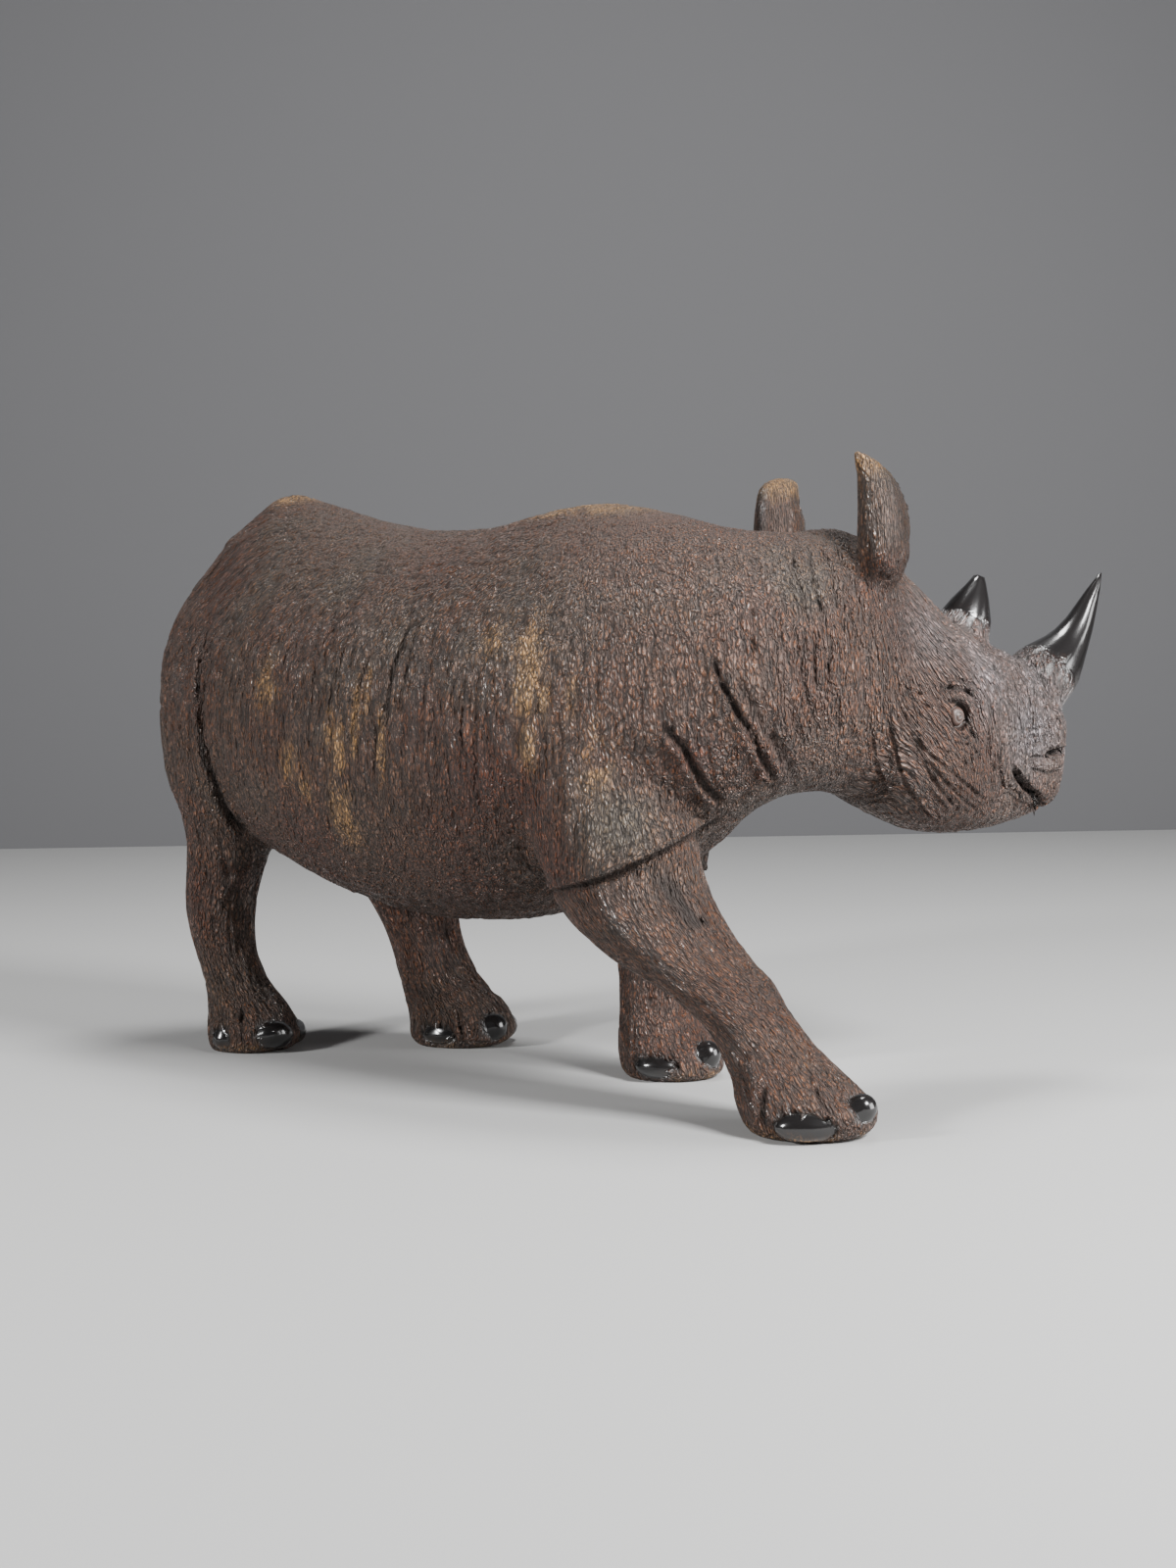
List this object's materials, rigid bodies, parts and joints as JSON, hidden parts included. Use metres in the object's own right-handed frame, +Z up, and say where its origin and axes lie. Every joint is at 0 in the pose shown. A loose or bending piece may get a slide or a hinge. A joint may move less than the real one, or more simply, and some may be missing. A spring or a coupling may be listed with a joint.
{
  "type": "carved wooden rhinoceros",
  "caption": "Walking rhinoceros carved from one block of dark hardwood, head turned to its left, with upright ears, polished nose horns and skin cut in fine strokes; stands on its feet.",
  "frame": {"origin": "under the middle of the animal's outline, on the surface that its soles rest on", "axes": "+X the way the body walks and its longest extent, +Y to its left, +Z up"},
  "size_m": [0.58, 0.3378, 0.359],
  "materials": {
    "carved_wood": "dark stained hardwood, chisel marked, waxed to a soft sheen, horns and toenails polished nearly black, lighter wood showing where it is worn"
  },
  "bodies": {
    "root": {"rhinoceros": "carved_wood"}
  },
  "joints": []
}
